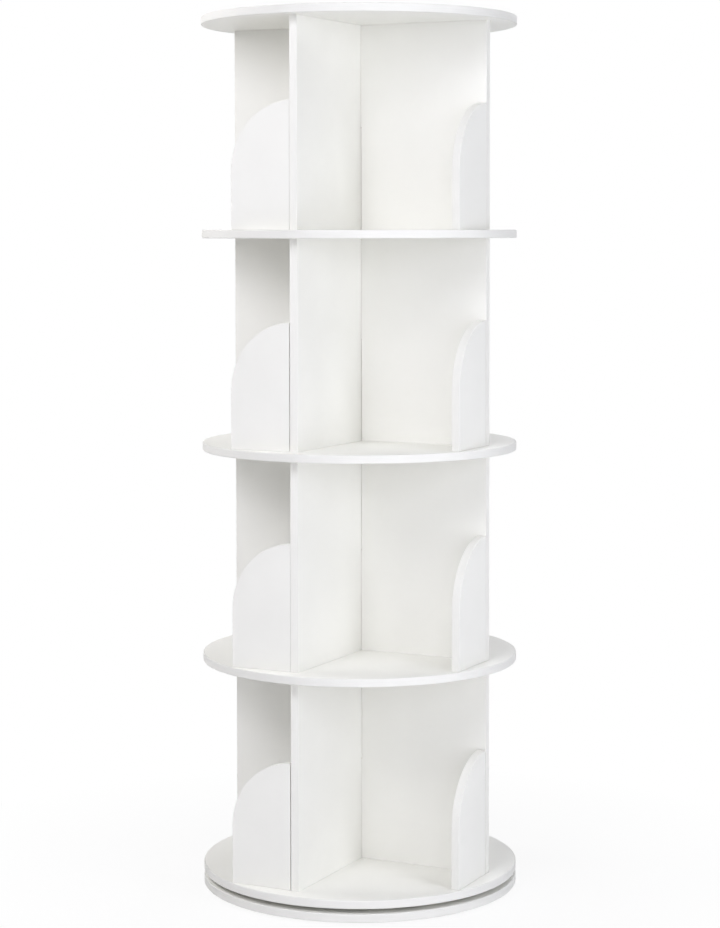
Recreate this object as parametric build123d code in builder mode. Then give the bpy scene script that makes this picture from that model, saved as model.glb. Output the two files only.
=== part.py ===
"""Rotating bookshelf: round boards, crossed dividers and arched baffles on a roller turntable."""

import os

from build123d import *

# Driving dimensions in millimetres. +Z is up, the origin is on the floor under the turning axis.

# Boards and tiers
board_diameter = 460
board_thickness = 12
tier_clear_height = 297
tier_count = 4

# Crossed dividers, halved into each other
rim_setback = 25  # from the rim of a board to the end of a divider
halving_side_clearance = 0.5
halving_end_clearance = 0.5

# Arched baffles at the divider ends
baffle_width = 93
baffle_height = 180
baffle_side_height = 82  # of the free side, up to where the arch starts
baffle_gaps = (1.4, 0.3, 1.2, 0.3)  # from a baffle to its divider, lowest tier first

# Wooden dowels between boards and dividers
dowel_diameter = 6
dowel_depth = 16  # into a divider
dowel_cover = 4  # board left over a dowel in the top and bottom boards
dowel_offset = 120  # from the turning axis
dowel_side_clearance = 0.05
dowel_end_clearance = 0.5

# Turntable
turntable_height = 7
plate_size = 220
plate_thickness = 1.5
plate_corner_cut = 14
pivot_diameter = 16
pivot_seat_clearance = 0.05
pivot_running_clearance = 0.05
pivot_top_clearance = 0.3

# Roller cage
roller_count = 8
roller_length = 12
roller_clearance = 0.05
cage_setback = 2  # from the sides of the plates to the rim of the cage
cage_edge = 6  # from the rim of the cage to its windows
cage_thickness = 2.5
cage_bore_clearance = 0.3
window_clearance = 0.3

# Foot pads
pad_count = 4
pad_side = 28
pad_height = 3
pad_setback = 35  # from the rim of the base to the middle of a pad

overrun = 1  # how far a cut runs past the face that it opens

# Sizes and levels that follow from these

board_radius = board_diameter / 2
divider_length = board_diameter - 2 * rim_setback
divider_end = divider_length / 2
divider_face = board_thickness / 2
slot_width = board_thickness + 2 * halving_side_clearance
slot_depth = tier_clear_height / 2 + halving_end_clearance
tier_pitch = tier_clear_height + board_thickness

dowel_radius = dowel_diameter / 2
dowel_hole_radius = dowel_radius + dowel_side_clearance
dowel_hole_depth = dowel_depth + dowel_end_clearance
blind_hole_depth = board_thickness - dowel_cover
blind_dowel_depth = blind_hole_depth - dowel_end_clearance
dowel_places = ((0, -dowel_offset), (0, dowel_offset))

base_bottom = pad_height
base_top = base_bottom + board_thickness
bottom_board_bottom = base_top + turntable_height
bottom_board_top = bottom_board_bottom + board_thickness

pivot_radius = pivot_diameter / 2
plate_gap = turntable_height - 2 * plate_thickness
roller_level = base_top + turntable_height / 2
roller_radius = plate_gap / 2 - roller_clearance
cage_radius = plate_size / 2 - cage_setback
window_length = roller_length + 2 * window_clearance
window_width = 2 * (roller_radius + window_clearance)
roller_circle_radius = cage_radius - cage_edge - window_length / 2


def tier_floor(tier):
    return bottom_board_top + (tier - 1) * tier_pitch


def tier_ceiling(tier):
    return tier_floor(tier) + tier_clear_height


os.makedirs("parts", exist_ok=True)


def save(piece, name):
    piece.part.label = name
    export_step(piece.part, f"parts/{name}.step")


# Foot pads: square rubber pads under the base

with BuildPart() as foot_pads:
    with BuildSketch(Plane.XY):
        with PolarLocations(board_radius - pad_setback, pad_count):
            Rectangle(pad_side, pad_side)
    extrude(amount=pad_height)
save(foot_pads, "foot_pads")

# Base disc, which stays still

with BuildPart() as base_disc:
    with BuildSketch(Plane.XY.offset(base_bottom)):
        Circle(board_radius)
    extrude(amount=board_thickness)
save(base_disc, "base_disc")


# Turntable plates with clipped corners: the lower one seats the pivot, the upper one turns round it

def make_plate(name, bottom, bore_radius):
    with BuildPart() as plate:
        with BuildSketch(Plane.XY.offset(bottom)) as outline:
            Rectangle(plate_size, plate_size)
            chamfer(outline.vertices(), plate_corner_cut)
            Circle(bore_radius, mode=Mode.SUBTRACT)
        extrude(amount=plate_thickness)
    save(plate, name)


make_plate("turntable_lower_plate", base_top, pivot_radius + pivot_seat_clearance)
make_plate(
    "turntable_upper_plate",
    bottom_board_bottom - plate_thickness,
    pivot_radius + pivot_running_clearance,
)

# Pivot: a steel pin through both plates and the cage

with BuildPart() as pivot:
    with BuildSketch(Plane.XY.offset(base_top)):
        Circle(pivot_radius)
    extrude(amount=turntable_height - pivot_top_clearance)
save(pivot, "turntable_pivot")

# Roller cage: a flat disc with a window for each roller

with BuildPart() as roller_cage:
    with BuildSketch(Plane.XY.offset(roller_level - cage_thickness / 2)):
        Circle(cage_radius)
        Circle(pivot_radius + cage_bore_clearance, mode=Mode.SUBTRACT)
        with PolarLocations(roller_circle_radius, roller_count):
            Rectangle(window_length, window_width, mode=Mode.SUBTRACT)
    extrude(amount=cage_thickness)
save(roller_cage, "roller_cage")

# Rollers, lying along the radius in their windows

with BuildPart() as rollers:
    with Locations((0, 0, roller_level)):
        with PolarLocations(roller_circle_radius, roller_count):
            Cylinder(roller_radius, roller_length, rotation=(0, 90, 0))
save(rollers, "turntable_rollers")


# Round boards, each drilled for the dowels of the dividers that meet it

def make_board(name, bottom, drill_bottom, drill_top):
    with BuildPart() as board:
        with BuildSketch(Plane.XY.offset(bottom)):
            Circle(board_radius)
        extrude(amount=board_thickness)
        with BuildSketch(Plane.XY.offset(drill_bottom)):
            with Locations(*dowel_places):
                Circle(dowel_hole_radius)
        extrude(amount=drill_top - drill_bottom, mode=Mode.SUBTRACT)
    save(board, name)


def make_dowels(name, bottom, top):
    with BuildPart() as dowels:
        with BuildSketch(Plane.XY.offset(bottom)):
            with Locations(*dowel_places):
                Circle(dowel_radius)
        extrude(amount=top - bottom)
    save(dowels, name)


make_board(
    "bottom_board",
    bottom=bottom_board_bottom,
    drill_bottom=bottom_board_top - blind_hole_depth,
    drill_top=bottom_board_top + overrun,
)
make_dowels(
    "bottom_board_dowels",
    bottom=bottom_board_top - blind_dowel_depth,
    top=bottom_board_top + dowel_depth,
)

for shelf in range(1, tier_count):
    shelf_bottom = tier_ceiling(shelf)
    shelf_top = tier_floor(shelf + 1)
    make_board(
        f"shelf_board_{shelf}",
        bottom=shelf_bottom,
        drill_bottom=shelf_bottom - overrun,
        drill_top=shelf_top + overrun,
    )
    make_dowels(
        f"shelf_board_{shelf}_dowels",
        bottom=shelf_bottom - dowel_depth,
        top=shelf_top + dowel_depth,
    )

top_board_bottom = tier_ceiling(tier_count)
make_board(
    "top_board",
    bottom=top_board_bottom,
    drill_bottom=top_board_bottom - overrun,
    drill_top=top_board_bottom + blind_hole_depth,
)
make_dowels(
    "top_board_dowels",
    bottom=top_board_bottom - dowel_depth,
    top=top_board_bottom + blind_dowel_depth,
)


# Dividers: two in each tier, crossing on the axis, one slotted from below and one from above

def make_divider(name, tier, along, slot_from_below, drilled):
    floor = tier_floor(tier)
    ceiling = tier_ceiling(tier)
    slot_bottom = floor - overrun if slot_from_below else ceiling - slot_depth
    slot_top = floor + slot_depth if slot_from_below else ceiling + overrun
    with BuildPart() as divider:
        with BuildSketch(Plane(origin=(0, 0, floor), x_dir=along, z_dir=(0, 0, 1))):
            Rectangle(divider_length, board_thickness)
        extrude(amount=tier_clear_height)
        with BuildSketch(Plane(origin=(0, 0, slot_bottom), x_dir=along, z_dir=(0, 0, 1))):
            Rectangle(slot_width, board_thickness + 2 * overrun)
        extrude(amount=slot_top - slot_bottom, mode=Mode.SUBTRACT)
        if drilled:
            for hole_bottom in (floor - overrun, ceiling - dowel_hole_depth):
                with BuildSketch(Plane.XY.offset(hole_bottom)):
                    with Locations(*dowel_places):
                        Circle(dowel_hole_radius)
                extrude(amount=dowel_hole_depth + overrun, mode=Mode.SUBTRACT)
    save(divider, name)


for tier in range(1, tier_count + 1):
    upper_half = tier > tier_count / 2
    make_divider(f"tier_{tier}_divider_x", tier, (1, 0, 0), slot_from_below=upper_half, drilled=False)
    make_divider(f"tier_{tier}_divider_y", tier, (0, 1, 0), slot_from_below=not upper_half, drilled=True)


# Arched baffles: one at each divider end, each standing a quarter turn on from the last

baffle_sides = {
    "front": Vector(0, -1, 0),
    "right": Vector(1, 0, 0),
    "back": Vector(0, 1, 0),
    "left": Vector(-1, 0, 0),
}


def make_baffle(name, tier, outward):
    across = outward.rotate(Axis.Z, -90)
    corner = outward * divider_end + across * (divider_face + baffle_gaps[tier - 1])
    corner = Vector(corner.X, corner.Y, tier_floor(tier))
    with BuildPart() as baffle:
        with BuildSketch(Plane(origin=corner, x_dir=across, z_dir=-outward)):
            with BuildLine():
                Line((0, baffle_height), (0, 0))
                Line((0, 0), (baffle_width, 0))
                free_side = Line((baffle_width, 0), (baffle_width, baffle_side_height))
                TangentArc(free_side @ 1, (0, baffle_height), tangent=free_side % 1)
            make_face()
        extrude(amount=board_thickness)
    save(baffle, name)


for tier in range(1, tier_count + 1):
    for side, outward in baffle_sides.items():
        make_baffle(f"tier_{tier}_baffle_{side}", tier, outward)
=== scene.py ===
import math

import bpy
from mathutils import Matrix, Vector


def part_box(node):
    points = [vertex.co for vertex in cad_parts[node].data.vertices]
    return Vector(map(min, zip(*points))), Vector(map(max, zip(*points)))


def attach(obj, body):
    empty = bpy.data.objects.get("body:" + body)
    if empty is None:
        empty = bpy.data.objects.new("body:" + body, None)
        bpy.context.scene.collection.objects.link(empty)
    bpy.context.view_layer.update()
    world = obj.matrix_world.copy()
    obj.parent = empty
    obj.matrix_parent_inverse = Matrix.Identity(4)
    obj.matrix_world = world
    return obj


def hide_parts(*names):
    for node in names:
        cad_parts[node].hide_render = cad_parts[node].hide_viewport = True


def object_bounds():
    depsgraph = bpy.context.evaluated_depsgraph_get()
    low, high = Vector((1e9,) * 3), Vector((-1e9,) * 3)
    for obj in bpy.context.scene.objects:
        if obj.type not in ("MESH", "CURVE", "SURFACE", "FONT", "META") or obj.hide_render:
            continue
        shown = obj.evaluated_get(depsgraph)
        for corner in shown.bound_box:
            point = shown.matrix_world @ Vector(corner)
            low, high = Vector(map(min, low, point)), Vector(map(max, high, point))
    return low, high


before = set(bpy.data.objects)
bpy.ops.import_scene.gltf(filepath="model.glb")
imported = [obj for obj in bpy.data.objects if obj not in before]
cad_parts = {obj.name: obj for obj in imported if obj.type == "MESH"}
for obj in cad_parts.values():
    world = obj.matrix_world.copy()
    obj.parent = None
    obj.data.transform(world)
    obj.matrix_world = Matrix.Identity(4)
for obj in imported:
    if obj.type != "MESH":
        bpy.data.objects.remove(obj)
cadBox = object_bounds()
tierCount = sum(name.endswith("_divider_x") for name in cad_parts)
shelfNames = [f"shelf_board_{n}" for n in range(1, tierCount)]
boardNames = ["bottom_board"] + shelfNames + ["top_board"]  # going up
baffleSides = ("front", "right", "back", "left")
print("frame loaded:", len(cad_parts), "nodes,", tierCount, "tiers")

bpy.context.scene.view_settings.view_transform = "Standard"


# small helpers for working as in the viewport

sharpAngle = math.radians(40)  # an edge that turns more than this is sharp
flatOn = 0.999  # a normal's least share along an axis, on a face square to it
bandReach = 1.05  # of an edge's rounding, how far in a band goes


def deselectAll():
    if bpy.context.object and bpy.context.object.mode != "OBJECT":
        bpy.ops.object.mode_set(mode="OBJECT")
    bpy.ops.object.select_all(action="DESELECT")


def pick(*pieces):
    deselectAll()
    for piece in pieces:
        piece.select_set(True)
    bpy.context.view_layer.objects.active = pieces[0]


def takePiece(name):  # names the new object and puts its place into its mesh
    piece = bpy.context.object
    piece.name = name
    bpy.ops.object.transform_apply(location=True, rotation=True, scale=True)
    return piece


def addBlock(name, low, high):
    deselectAll()
    bpy.ops.mesh.primitive_cube_add(size=1, location=(low + high) / 2)
    bpy.context.object.scale = high - low
    return takePiece(name)


def addRound(name, radius, low, high, sides):  # an upright cylinder between two points of its axis
    deselectAll()
    bpy.ops.mesh.primitive_cylinder_add(
        vertices=sides, radius=radius, depth=high.z - low.z, location=(low + high) / 2
    )
    return takePiece(name)


def copyOf(piece, name, offset):
    pick(piece)
    bpy.ops.object.duplicate()
    bpy.context.object.location = offset
    return takePiece(name)


def joined(name, pieces):
    pick(*pieces)
    if len(pieces) > 1:
        bpy.ops.object.join()
    pieces[0].name = name
    return pieces[0]


def discard(*pieces):
    pick(*pieces)
    bpy.ops.object.delete()


def applyModifier(piece, kind, **settings):
    pick(piece)
    modifier = piece.modifiers.new(kind.lower(), kind)
    for name, value in settings.items():
        setattr(modifier, name, value)
    bpy.ops.object.modifier_apply(modifier=modifier.name)


def cutAway(piece, *cutters):
    for cutter in cutters:
        applyModifier(piece, "BOOLEAN", operation="DIFFERENCE", solver="EXACT", object=cutter)


def selectEdges(piece, wanted):  # wanted is asked about the two ends of each edge
    pick(piece)
    bpy.ops.object.mode_set(mode="EDIT")
    bpy.ops.mesh.select_mode(type="EDGE")
    bpy.ops.mesh.select_all(action="DESELECT")
    bpy.ops.object.mode_set(mode="OBJECT")
    points = piece.data.vertices
    for edge in piece.data.edges:
        edge.select = wanted(*(points[i].co for i in edge.vertices))
    bpy.ops.object.mode_set(mode="EDIT")


def easeEdges(piece, width, steps):  # rounds every sharp edge
    pick(piece)
    bpy.ops.object.mode_set(mode="EDIT")
    bpy.ops.mesh.select_mode(type="EDGE")
    bpy.ops.mesh.select_all(action="DESELECT")
    bpy.ops.mesh.edges_select_sharp(sharpness=sharpAngle)
    bpy.ops.mesh.bevel(offset=width, segments=steps, affect="EDGES")
    bpy.ops.object.mode_set(mode="OBJECT")


def smoothFaces(piece):
    pick(piece)
    bpy.ops.object.shade_smooth_by_angle(angle=sharpAngle)
    applyModifier(piece, "WEIGHTED_NORMAL", keep_sharp=True)


def paint(piece, materials, chooser):  # chooser gives the number for a face's middle and normal
    piece.data.materials.clear()
    for material in materials:
        piece.data.materials.append(material)
    for face in piece.data.polygons:
        face.material_index = chooser(face.center, face.normal)


def paintAll(piece, material):
    paint(piece, [material], lambda middle, normal: 0)


# finishes

shadeSpread = (0.35, 0.65)  # the part of a noise that goes from the first shade to the second
roughSpread = (0.3, 0.7)  # the part that goes over a range of roughness


def mapRange(tree, fromRange, toRange):
    spread = tree.nodes.new("ShaderNodeMapRange")
    names = ("From Min", "From Max", "To Min", "To Max")
    for name, value in zip(names, (*fromRange, *toRange)):
        spread.inputs[name].default_value = value
    return spread


def addNoise(tree, scale, detail, stretch=(1, 1, 1)):  # on the piece's own place, in metres
    place = tree.nodes.new("ShaderNodeTexCoord")
    mapping = tree.nodes.new("ShaderNodeMapping")
    mapping.inputs["Scale"].default_value = stretch
    noise = tree.nodes.new("ShaderNodeTexNoise")
    noise.inputs["Scale"].default_value = scale
    noise.inputs["Detail"].default_value = detail
    tree.links.new(place.outputs["Object"], mapping.inputs["Vector"])
    tree.links.new(mapping.outputs["Vector"], noise.inputs["Vector"])
    return noise.outputs["Fac"]


def colourFrom(tree, shader, noise, shades):
    ramp = tree.nodes.new("ShaderNodeValToRGB")
    for element, place, shade in zip(ramp.color_ramp.elements, shadeSpread, shades):
        element.position = place
        element.color = (*shade, 1)
    tree.links.new(noise, ramp.inputs["Fac"])
    tree.links.new(ramp.outputs["Color"], shader.inputs["Base Color"])


def roughnessFrom(tree, shader, noise, roughness):
    spread = mapRange(tree, roughSpread, roughness)
    tree.links.new(noise, spread.inputs["Value"])
    tree.links.new(spread.outputs["Result"], shader.inputs["Roughness"])


def bumpFrom(tree, shader, noise, strength, height):
    bump = tree.nodes.new("ShaderNodeBump")
    bump.inputs["Strength"].default_value = strength
    bump.inputs["Distance"].default_value = height
    tree.links.new(noise, bump.inputs["Height"])
    tree.links.new(bump.outputs["Normal"], shader.inputs["Normal"])


def makeFinish(name, look):
    material = bpy.data.materials.new(name)
    material.use_nodes = True
    tree = material.node_tree
    shader = tree.nodes["Principled BSDF"]
    shader.inputs["Metallic"].default_value = look.get("metallic", 0)
    grain = addNoise(tree, *look["grain"])
    cloud = addNoise(tree, *look["cloud"]) if "cloud" in look else grain
    colourFrom(tree, shader, cloud, look["shades"])
    if isinstance(look["roughness"], tuple):
        roughnessFrom(tree, shader, grain, look["roughness"])
    else:
        shader.inputs["Roughness"].default_value = look["roughness"]
    if "bump" in look:
        bumpFrom(tree, shader, grain, *look["bump"])
    return material


laminateLook = {
    "shades": ((0.874, 0.870, 0.827), (0.898, 0.894, 0.851)),  # a warm white
    "cloud": (9, 4),  # scale and detail of the faint change of shade
    "grain": (850, 3),  # the pressed texture, about a millimetre across
    "roughness": (0.36, 0.46),
    "bump": (0.35, 0.00006),  # strength and height
}
laminate = makeFinish("whiteLaminate", laminateLook)

bandLook = {
    "rim": ((0.796, 0.792, 0.757), (0.822, 0.818, 0.783)),  # a shade deeper than the faces; below the upright band's shade it is painted shade, toning down the lamps on the rim
    "upright": ((0.866, 0.860, 0.818), (0.894, 0.888, 0.844)),
    # the arch band is the upright band made deeper as painted shade on the arches
    "arch": ((0.826, 0.821, 0.781), (0.852, 0.847, 0.806)),
    "lines": (40, 3),
    "lineStretch": 30,  # fine drawn lines along the band
    "roughness": (0.62, 0.74),
    "bump": (0.3, 0.00003),
}


def edgeBand(kind, stretch):
    grain = (*bandLook["lines"], stretch)
    return makeFinish(kind + "Band", {**bandLook, "shades": bandLook[kind], "grain": grain})


drawn = bandLook["lineStretch"]
# the rim's band carries painted shade: a deeper copy of the same edge band
rimBandPaintedShade = edgeBand("rim", (1, 1, drawn))
uprightBand = edgeBand("upright", (drawn, drawn, 1))
# the arches' band carries painted shade: a deeper copy of the upright band
archBandPaintedShade = edgeBand("arch", (drawn, drawn, 1))

coreLook = {  # raw fibreboard, where a saw or a drill has been
    "shades": ((0.30, 0.21, 0.13), (0.52, 0.40, 0.27)),
    "grain": (700, 5),
    "roughness": 0.85,
    "bump": (0.6, 0.0002),
}
core = makeFinish("rawFibreboard", coreLook)

zincLook = {
    "shades": ((0.52, 0.53, 0.54), (0.68, 0.69, 0.70)),
    "grain": (130, 3),  # spangle
    "metallic": 1,
    "roughness": (0.30, 0.48),
}
zinc = makeFinish("zincPlatedSteel", zincLook)

steelLook = {
    "shades": ((0.58, 0.58, 0.59), (0.70, 0.70, 0.71)),
    "grain": (90, 3, (1, 1, 25)),  # ground round about
    "metallic": 1,
    "roughness": (0.18, 0.32),
}
steel = makeFinish("groundSteel", steelLook)

nylonLook = {
    "shades": ((0.70, 0.69, 0.64), (0.77, 0.76, 0.71)),
    "grain": (600, 2),
    "roughness": 0.45,
    "bump": (0.3, 0.00005),
}
nylon = makeFinish("mouldedNylon", nylonLook)

beechLook = {
    "shades": ((0.56, 0.38, 0.22), (0.74, 0.56, 0.36)),
    "grain": (60, 6, (12, 12, 1)),  # runs up the dowel
    "roughness": 0.6,
    "bump": (0.4, 0.0001),
}
beech = makeFinish("beechDowel", beechLook)

rubberLook = {
    "shades": ((0.045, 0.045, 0.048), (0.085, 0.085, 0.09)),
    "grain": (900, 4),
    "roughness": 0.75,
    "bump": (0.5, 0.0001),
}
rubber = makeFinish("mattRubber", rubberLook)
print("finishes made")


# countersunk screws that come up through a board into the baffles that stand on it

baffleScrew = {
    "headRadius": 0.0036,
    "headDepth": 0.0026,
    "shankRadius": 0.0017,
    "length": 0.030,
    "pointShare": 0.15,  # of the shank
    "pointTaper": 0.15,
    "sides": 24,
    "recess": (0.0042, 0.0009, 0.0014),  # length, width and depth of each arm of the cross
    "holePlay": 0.0001,
    "placeShares": (0.22, 0.78),  # along the foot of a baffle
}


def screwBlank(name):  # head down on z = 0, shank up
    screw = baffleScrew
    deselectAll()
    bpy.ops.mesh.primitive_cone_add(
        vertices=screw["sides"],
        radius1=screw["headRadius"],
        radius2=screw["shankRadius"],
        depth=screw["headDepth"],
        location=(0, 0, screw["headDepth"] / 2),
    )
    blank = takePiece(name)
    for face in blank.data.polygons:
        face.select = face.normal.z > flatOn
    bpy.ops.object.mode_set(mode="EDIT")
    bpy.ops.mesh.select_mode(type="FACE")
    shank = screw["length"] - screw["headDepth"]
    point = shank * screw["pointShare"]
    for rise in (shank - point, point):
        bpy.ops.mesh.extrude_region_move(TRANSFORM_OT_translate={"value": (0, 0, rise)})
    bpy.ops.transform.resize(value=(screw["pointTaper"], screw["pointTaper"], 1))
    bpy.ops.object.mode_set(mode="OBJECT")
    return blank


def crossRecess(piece, sizes, bottom, top):
    arm, width, depth = sizes
    for halfX, halfY in ((arm / 2, width / 2), (width / 2, arm / 2)):
        low, high = Vector((-halfX, -halfY, bottom)), Vector((halfX, halfY, top))
        cutter = addBlock("recessCutter", low, high)
        cutAway(piece, cutter)
        discard(cutter)


def screwCutter():
    cutter = screwBlank("screwCutter")
    bpy.ops.object.mode_set(mode="EDIT")
    bpy.ops.mesh.select_all(action="SELECT")
    bpy.ops.transform.shrink_fatten(value=baffleScrew["holePlay"])
    bpy.ops.object.mode_set(mode="OBJECT")
    return cutter


def screwPlaces(tier):
    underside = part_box(boardNames[tier - 1])[0].z
    places = []
    for side in baffleSides:
        low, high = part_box(f"tier_{tier}_baffle_{side}")
        wide = 0 if high.x - low.x > high.y - low.y else 1
        for share in baffleScrew["placeShares"]:
            place = (low + high) / 2
            place[wide] = low[wide] + share * (high[wide] - low[wide])
            place.z = underside
            places.append(place)
    return places


screwModel = screwBlank("screwModel")
recessDepth = baffleScrew["recess"][2]
crossRecess(screwModel, baffleScrew["recess"], -recessDepth, recessDepth)
smoothFaces(screwModel)
paintAll(screwModel, zinc)
cutterModel = screwCutter()

screwHoles = {}  # by tier, what the screws take out of the board and the baffles
for tier in range(1, tierCount + 1):
    places = screwPlaces(tier)
    screws = [copyOf(screwModel, "screw", place) for place in places]
    screws = joined(f"baffle_screws_{tier}", screws)
    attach(screws, "tower")
    holes = [copyOf(cutterModel, "hole", place) for place in places]
    screwHoles[tier] = joined(f"screwHoles{tier}", holes)
discard(screwModel, cutterModel)
print("baffle screws made")


# dowel holes, shared by a board and the dividers that it meets

dowelHole = {
    "sidePlay": 0.00005,
    "endPlay": 0.0005,
    "sides": 32,
}


def dowelCutter(boardName):
    low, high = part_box(boardName + "_dowels")
    radius = high.x
    offset = high.y - radius
    bore = radius + dowelHole["sidePlay"]
    holes = []
    for y in (-offset, offset):
        bottom = Vector((0, y, low.z - dowelHole["endPlay"]))
        top = Vector((0, y, high.z + dowelHole["endPlay"]))
        holes.append(addRound("hole", bore, bottom, top, dowelHole["sides"]))
    return joined(boardName + "Holes", holes)


dowelHoles = {name: dowelCutter(name) for name in boardNames}


# round boards, with a band round the rim

roundBoard = {
    "sides": 288,
    "rimEase": 0.0015,  # the band's rounded edges
    "easeSteps": 5,
}


def makeRoundBoard(node, body, cutters=()):
    low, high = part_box(node)
    radius = (high.x - low.x) / 2
    middle = (low + high) / 2
    bottom = Vector((middle.x, middle.y, low.z))
    top = Vector((middle.x, middle.y, high.z))
    board = addRound("laminated_" + node, radius, bottom, top, roundBoard["sides"])
    easeEdges(board, roundBoard["rimEase"], roundBoard["easeSteps"])
    cutAway(board, *cutters)
    smoothFaces(board)
    rimStart = radius - roundBoard["rimEase"] * bandReach

    def chooser(place, normal):  # white faces, the rim's band, and raw in the holes
        if abs(normal.z) > flatOn:
            return 0
        return 1 if math.hypot(place.x, place.y) > rimStart else 2

    paint(board, [laminate, rimBandPaintedShade, core], chooser)
    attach(board, body)
    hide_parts(node)


makeRoundBoard("base_disc", "base")
for level, boardName in enumerate(boardNames, start=1):
    cutters = [dowelHoles[boardName]]
    if level <= tierCount:
        cutters.append(screwHoles[level])
    makeRoundBoard(boardName, "tower", cutters)
print("round boards made")


# crossed dividers, halved into each other

divider = {
    "edgeEase": 0.0004,
    "easeSteps": 3,
    "slotPlay": 0.0005,  # beside the other divider, and at the end of the slot
    "faceTilt": (0.1, 0.05),  # on white faces, a normal's least share across and most along
}


def slotCutter(low, high, axis, fromBelow):
    thickness = min(high.x - low.x, high.y - low.y)
    half = thickness / 2 + divider["slotPlay"]
    middle = (low.z + high.z) / 2
    bottom = low.z - thickness if fromBelow else middle - divider["slotPlay"]
    top = middle + divider["slotPlay"] if fromBelow else high.z + thickness
    halfX, halfY = (half, thickness) if axis == "x" else (thickness, half)
    return addBlock("slotCutter", Vector((-halfX, -halfY, bottom)), Vector((halfX, halfY, top)))


def makeDivider(tier, axis):
    node = f"tier_{tier}_divider_{axis}"
    low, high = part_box(node)
    along, across = (0, 1) if axis == "x" else (1, 0)
    panel = addBlock("laminated_" + node, low, high)
    easeEdges(panel, divider["edgeEase"], divider["easeSteps"])
    upperHalf = tier > tierCount / 2
    slot = slotCutter(low, high, axis, fromBelow=(axis == "x") == upperHalf)
    cutAway(panel, slot)
    discard(slot)
    if axis == "y":
        cutAway(panel, dowelHoles[boardNames[tier - 1]], dowelHoles[boardNames[tier]])
    smoothFaces(panel)
    bandStart = high[along] - divider["edgeEase"] * bandReach
    leastAcross, mostAlong = divider["faceTilt"]

    def chooser(place, normal):  # raw where it is sawn or drilled, and white on the eased edges
        if abs(place[along]) > bandStart:
            return 1
        white = abs(normal[across]) > leastAcross and abs(normal[along]) < mostAlong
        return 0 if white else 2

    paint(panel, [laminate, uprightBand, core], chooser)
    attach(panel, "tower")
    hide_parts(node)


for tier in range(1, tierCount + 1):
    for axis in "xy":
        makeDivider(tier, axis)
print("dividers made")


# arched baffles at the divider ends

baffle = {
    "sideHeight": 0.082,  # of the free side, up to where the arch starts
    "archSteps": 56,
    "edgeEase": 0.0006,
    "easeSteps": 3,
    "closeShare": 0.1,  # of the easing, within which points count as one
}


def makeBaffle(tier, side):
    node = f"tier_{tier}_baffle_{side}"
    low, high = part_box(node)
    wide, thin = (0, 1) if high.x - low.x > high.y - low.y else (1, 0)
    width = high[wide] - low[wide]
    rise = high.z - low.z - baffle["sideHeight"]
    radius = (width**2 + rise**2) / (2 * width)  # the arch meets the free side with no corner
    outward = -1 if abs(low[wide]) > abs(high[wide]) else 1  # from the divider to the free side
    freeSide, dividerSide = (low[wide], high[wide]) if outward < 0 else (high[wide], low[wide])
    close = baffle["edgeEase"] * baffle["closeShare"]
    blankLow, blankHigh = low.copy(), high.copy()
    blankLow[wide], blankHigh[wide] = sorted((freeSide, freeSide - outward * radius))
    blankHigh.z = low.z + baffle["sideHeight"] + radius
    panel = addBlock("laminated_" + node, blankLow, blankHigh)

    def onCorner(point):
        return abs(point.z - blankHigh.z) < close and abs(point[wide] - freeSide) < close

    selectEdges(panel, lambda a, b: onCorner(a) and onCorner(b))  # what becomes the arch
    bpy.ops.mesh.bevel(offset=radius, segments=baffle["archSteps"], affect="EDGES")
    bpy.ops.mesh.select_all(action="SELECT")
    bpy.ops.mesh.remove_doubles(threshold=close)
    bpy.ops.mesh.dissolve_degenerate(threshold=close)
    sawLine, sawFacing = Vector(), Vector()
    sawLine[wide], sawFacing[wide] = dividerSide, -outward
    bpy.ops.mesh.select_all(action="SELECT")
    bpy.ops.mesh.bisect(plane_co=sawLine, plane_no=sawFacing, use_fill=True, clear_outer=True)
    bpy.ops.object.mode_set(mode="OBJECT")
    easeEdges(panel, baffle["edgeEase"], baffle["easeSteps"])
    cutAway(panel, screwHoles[tier])
    smoothFaces(panel)

    def chooser(place, normal):  # raw at the foot
        if abs(normal[thin]) > flatOn:
            return 0
        return 2 if normal.z < -flatOn else 1

    paint(panel, [laminate, archBandPaintedShade, core], chooser)
    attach(panel, "tower")
    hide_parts(node)


for tier in range(1, tierCount + 1):
    for side in baffleSides:
        makeBaffle(tier, side)
discard(*dowelHoles.values(), *screwHoles.values())
print("baffles made")


# rubber pads under the base

footPad = {
    "side": 0.028,
    "cornerRadius": 0.004,
    "cornerSteps": 6,
    "edgeEase": 0.0004,
    "easeSteps": 2,
}


def makeFootPads():
    setup = footPad
    low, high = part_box("foot_pads")
    half = setup["side"] / 2
    reach = high.x - half
    pads = []
    for x, y in ((reach, 0), (0, reach), (-reach, 0), (0, -reach)):
        padLow = Vector((x - half, y - half, low.z))
        padHigh = Vector((x + half, y + half, high.z))
        pad = addBlock("pad", padLow, padHigh)
        selectEdges(pad, lambda a, b: abs(a.z - b.z) > (high.z - low.z) / 2)
        bpy.ops.mesh.bevel(
            offset=setup["cornerRadius"], segments=setup["cornerSteps"], affect="EDGES"
        )
        bpy.ops.object.mode_set(mode="OBJECT")
        easeEdges(pad, setup["edgeEase"], setup["easeSteps"])
        pads.append(pad)
    pads = joined("rubber_foot_pads", pads)
    smoothFaces(pads)
    paintAll(pads, rubber)
    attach(pads, "base")
    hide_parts("foot_pads")


makeFootPads()
print("foot pads made")


# pan heads that hold the turntable plates at their corners

plateScrew = {
    "headRadius": 0.0036,
    "headHeight": 0.0017,
    "crown": 0.0009,  # rounding of the head's edge
    "crownSteps": 4,
    "sides": 28,
    "recess": (0.0042, 0.0009, 0.0010),  # length, width and depth of each arm of the cross
    "inset": 0.018,  # from the sides of the plate
}


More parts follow.
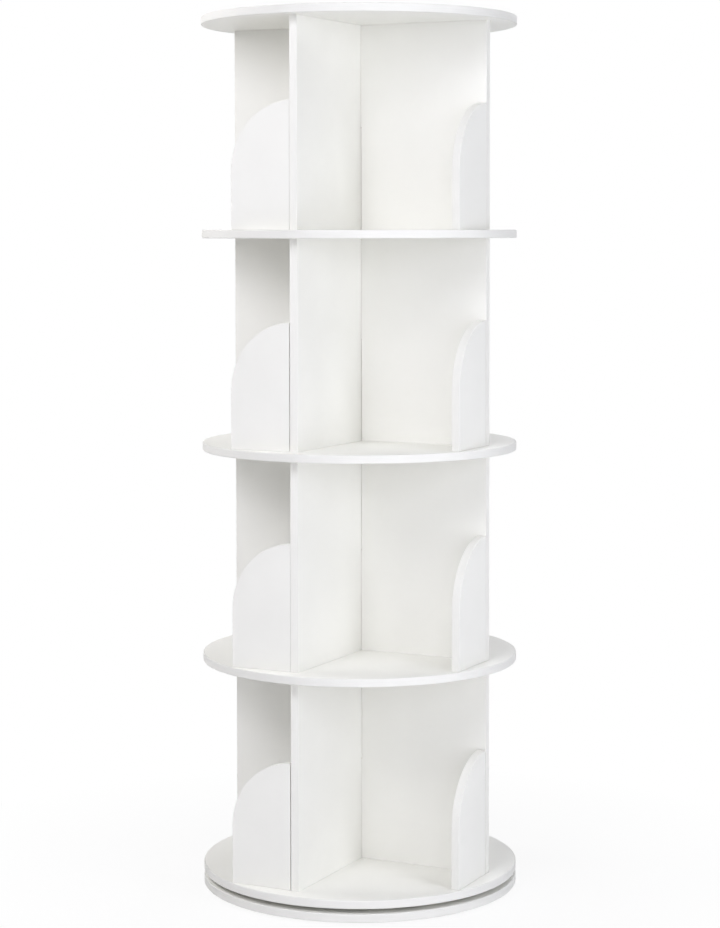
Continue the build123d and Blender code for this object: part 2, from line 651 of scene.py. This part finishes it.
def makePlateScrews(plate, body, headsUp):
    screw = plateScrew
    low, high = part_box(plate)
    height = screw["headHeight"]
    depth = screw["recess"][2]
    foot, crown = Vector((0, 0, 0)), Vector((0, 0, height))
    model = addRound("panHead", screw["headRadius"], foot, crown, screw["sides"])
    selectEdges(model, lambda a, b: min(a.z, b.z) > height / 2)
    bpy.ops.mesh.bevel(offset=screw["crown"], segments=screw["crownSteps"], affect="EDGES")
    bpy.ops.object.mode_set(mode="OBJECT")
    crossRecess(model, screw["recess"], height - depth, height + depth)
    if not headsUp:
        model.rotation_euler.x = math.pi
        pick(model)
        bpy.ops.object.transform_apply(location=False, rotation=True, scale=False)
    smoothFaces(model)
    paintAll(model, zinc)
    reach = high.x - screw["inset"]
    seat = high.z if headsUp else low.z
    places = [Vector((x, y, seat)) for x in (-reach, reach) for y in (-reach, reach)]
    screws = joined(plate + "_screws", [copyOf(model, "head", place) for place in places])
    discard(model)
    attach(screws, body)


makePlateScrews("turntable_lower_plate", "base", headsUp=True)
makePlateScrews("turntable_upper_plate", "tower", headsUp=False)
print("plate screws made")


# finishes of the turntable and the dowels, which keep their solids

def dress(node, material):
    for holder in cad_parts[node].material_slots:
        holder.material = material


dress("turntable_lower_plate", zinc)
dress("turntable_upper_plate", zinc)
dress("turntable_pivot", steel)
dress("turntable_rollers", steel)
dress("roller_cage", nylon)
for boardName in boardNames:
    dress(boardName + "_dowels", beech)
print("turntable and dowels dressed")


# camera at the photograph's view

photoCamera = {
    "azimuth": 26.45,  # degrees round from the front
    "distance": 3.4095,  # from the turning axis
    "height": 0.9598,
    "pitch": 2.56,  # degrees down
    "roll": -0.07,
    "focalPixels": 2327.2,
    "axisPixel": (359.36, 334.65),  # where the lens axis meets the picture
    "picture": (720, 928),
    "sensor": 36,
}


def addCamera():
    setup = photoCamera
    azimuth = math.radians(setup["azimuth"])
    longSide = max(setup["picture"])
    data = bpy.data.cameras.new("photoCamera")
    data.sensor_width = setup["sensor"]
    data.lens = setup["focalPixels"] * setup["sensor"] / longSide
    data.shift_x = (setup["picture"][0] / 2 - setup["axisPixel"][0]) / longSide
    data.shift_y = (setup["axisPixel"][1] - setup["picture"][1] / 2) / longSide
    camera = bpy.data.objects.new("photoCamera", data)
    bpy.context.scene.collection.objects.link(camera)
    place = Vector((math.sin(azimuth), -math.cos(azimuth), 0)) * setup["distance"]
    place.z = setup["height"]
    camera.matrix_world = (
        Matrix.Translation(place)
        @ Matrix.Rotation(azimuth, 4, "Z")
        @ Matrix.Rotation(math.radians(90 - setup["pitch"]), 4, "X")
        @ Matrix.Rotation(math.radians(setup["roll"]), 4, "Z")
    )
    bpy.context.scene.camera = camera


addCamera()
print("camera set")


# floor, world and lamps

studio = {
    "floorSize": 60,
    "floorColour": (0.90, 0.90, 0.90),
    "floorGlow": (0.90, 1.0),  # share of plain white in what is seen, by the base and farther out
    "floorReach": (0.3, 0.75),  # metres from the axis, where one share ends and the other starts
    "tints": {
        "plain": (0.952, 0.947, 1.0),  # a little cool, as daylight lamps are
        "cool": (0.925, 0.938, 1.0),
        "warm": (1.0, 0.985, 0.98),
    },
    # name, degrees round from the front, metres from the axis, height, size, watts, tint
    "lamps": (
        ("frontFar", 26, 8.0, 1.3, 4.5, 94, "plain"),
        ("frontTop", 0, 2.8, 3.3, 1.2, 10, "plain"),
        ("frontHigh", 0, 2.8, 2.5, 1.2, 24, "plain"),
        ("frontLeft", -15, 2.0, 1.8, 0.9, 6, "plain"),
        ("frontNear", 10, 2.0, 1.5, 0.9, 3.5, "plain"),
        ("rightNear", 66, 2.0, 1.2, 0.9, 10, "cool"),
        ("rightLow", 70, 2.0, 0.35, 0.9, 9, "cool"),
        ("rightHigh", 85, 2.8, 4.2, 3.0, 42, "cool"),
        ("rear", 180, 4.0, 2.75, 3.0, 56.5, "plain"),
        ("leftNear", -80, 1.6, 1.6, 0.8, 15.5, "warm"),
        ("overhead", 0, 0.0, 3.3, 0.6, 9, "plain"),
    ),
}


def seenPlainly(tree):  # one for camera, glossy and transmission rays, and nought for light
    path = tree.nodes.new("ShaderNodeLightPath")
    seen = path.outputs["Is Camera Ray"]
    for ray in ("Is Glossy Ray", "Is Transmission Ray"):
        either = tree.nodes.new("ShaderNodeMath")
        either.operation = "MAXIMUM"
        tree.links.new(seen, either.inputs[0])
        tree.links.new(path.outputs[ray], either.inputs[1])
        seen = either.outputs["Value"]
    return seen


def addWorld():  # plain white to look at, with no light of its own
    world = bpy.data.worlds.new("studioWorld")
    bpy.context.scene.world = world
    world.use_nodes = True
    tree = world.node_tree
    around = tree.nodes["Background"]
    around.inputs["Color"].default_value = (1, 1, 1, 1)
    tree.links.new(seenPlainly(tree), around.inputs["Strength"])


def addFloor():
    deselectAll()
    bpy.ops.mesh.primitive_plane_add(size=studio["floorSize"], location=(0, 0, 0))
    floor = takePiece("studioFloor")
    material = bpy.data.materials.new("studioFloor")
    material.use_nodes = True
    tree = material.node_tree
    tree.nodes.remove(tree.nodes["Principled BSDF"])
    paintCoat = tree.nodes.new("ShaderNodeBsdfDiffuse")
    paintCoat.inputs["Color"].default_value = (*studio["floorColour"], 1)
    glow = tree.nodes.new("ShaderNodeEmission")
    glow.inputs["Strength"].default_value = 1
    place = tree.nodes.new("ShaderNodeTexCoord")
    reach = tree.nodes.new("ShaderNodeVectorMath")
    reach.operation = "LENGTH"
    fade = mapRange(tree, studio["floorReach"], studio["floorGlow"])
    share = tree.nodes.new("ShaderNodeMath")
    share.operation = "MULTIPLY"
    mix = tree.nodes.new("ShaderNodeMixShader")
    tree.links.new(place.outputs["Object"], reach.inputs[0])
    tree.links.new(reach.outputs["Value"], fade.inputs["Value"])
    tree.links.new(seenPlainly(tree), share.inputs[0])
    tree.links.new(fade.outputs["Result"], share.inputs[1])
    tree.links.new(share.outputs["Value"], mix.inputs["Fac"])
    tree.links.new(paintCoat.outputs["BSDF"], mix.inputs[1])
    tree.links.new(glow.outputs["Emission"], mix.inputs[2])
    tree.links.new(mix.outputs["Shader"], tree.nodes["Material Output"].inputs["Surface"])
    floor.data.materials.append(material)


def addLamp(name, azimuth, out, height, size, watts, tint):  # turned to the object's middle
    data = bpy.data.lights.new(name, "AREA")
    data.shape = "DISK"
    data.size = size
    data.energy = watts
    data.color = studio["tints"][tint]
    lamp = bpy.data.objects.new(name, data)
    bpy.context.scene.collection.objects.link(lamp)
    across = math.radians(azimuth)
    lamp.location = (out * math.sin(across), -out * math.cos(across), height)
    toLamp = lamp.location - (cadBox[0] + cadBox[1]) / 2
    lamp.rotation_euler = toLamp.to_track_quat("Z", "Y").to_euler()


addWorld()
addFloor()
for lamp in studio["lamps"]:
    addLamp(*lamp)
print("studio set")
